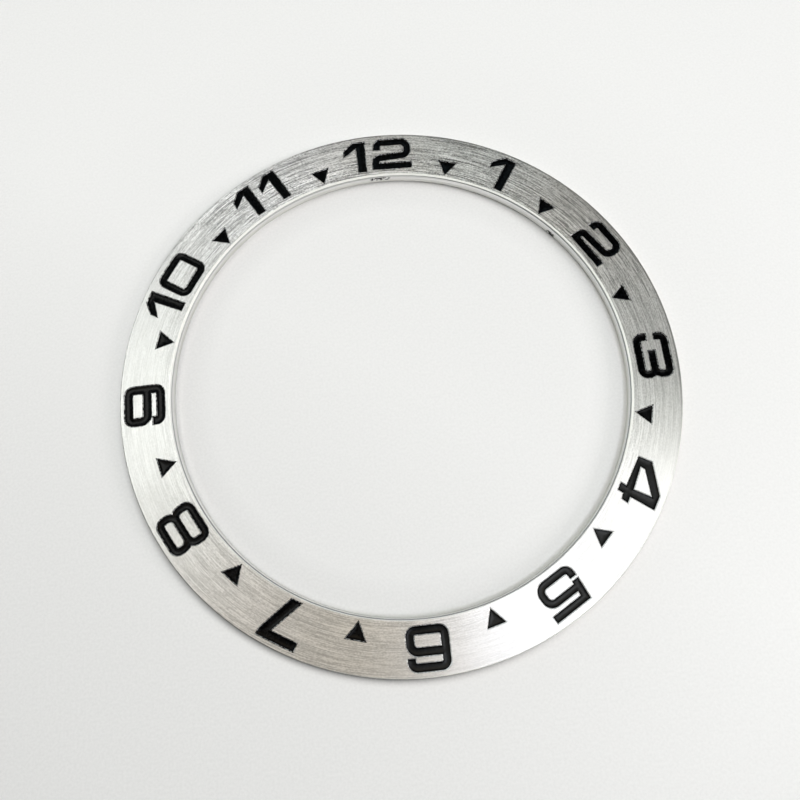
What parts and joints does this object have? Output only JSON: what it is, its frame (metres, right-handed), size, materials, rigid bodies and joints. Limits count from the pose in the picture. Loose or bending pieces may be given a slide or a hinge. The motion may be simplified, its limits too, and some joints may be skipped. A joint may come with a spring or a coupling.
{
  "type": "watch bezel insert",
  "caption": "Thin flat ring of circular-brushed steel, the numbered insert of a watch bezel, with engraved hours and small triangles filled with black lacquer.",
  "frame": {"origin": "on the ring's axis, in the plane of its back face", "axes": "+Z out of the numbered face, +Y towards 12, +X towards 3"},
  "size_m": [0.038, 0.038, 0.0008],
  "materials": {
    "brushed_steel": "circular brushed face, polished bevel and rim",
    "black_lacquer": "semi-gloss black lacquer"
  },
  "bodies": {
    "root": {"insert_ring": "brushed_steel", "numeral_01": "black_lacquer", "numeral_02": "black_lacquer", "numeral_03": "black_lacquer", "numeral_04": "black_lacquer", "numeral_05": "black_lacquer", "numeral_06": "black_lacquer", "numeral_07": "black_lacquer", "numeral_08": "black_lacquer", "numeral_09": "black_lacquer", "numeral_10_tens": "black_lacquer", "numeral_10_units": "black_lacquer", "numeral_11_tens": "black_lacquer", "numeral_11_units": "black_lacquer", "numeral_12_tens": "black_lacquer", "numeral_12_units": "black_lacquer", "marker_01": "black_lacquer", "marker_02": "black_lacquer", "marker_03": "black_lacquer", "marker_04": "black_lacquer", "marker_05": "black_lacquer", "marker_06": "black_lacquer", "marker_07": "black_lacquer", "marker_08": "black_lacquer", "marker_09": "black_lacquer", "marker_10": "black_lacquer", "marker_11": "black_lacquer", "marker_12": "black_lacquer"}
  },
  "joints": []
}
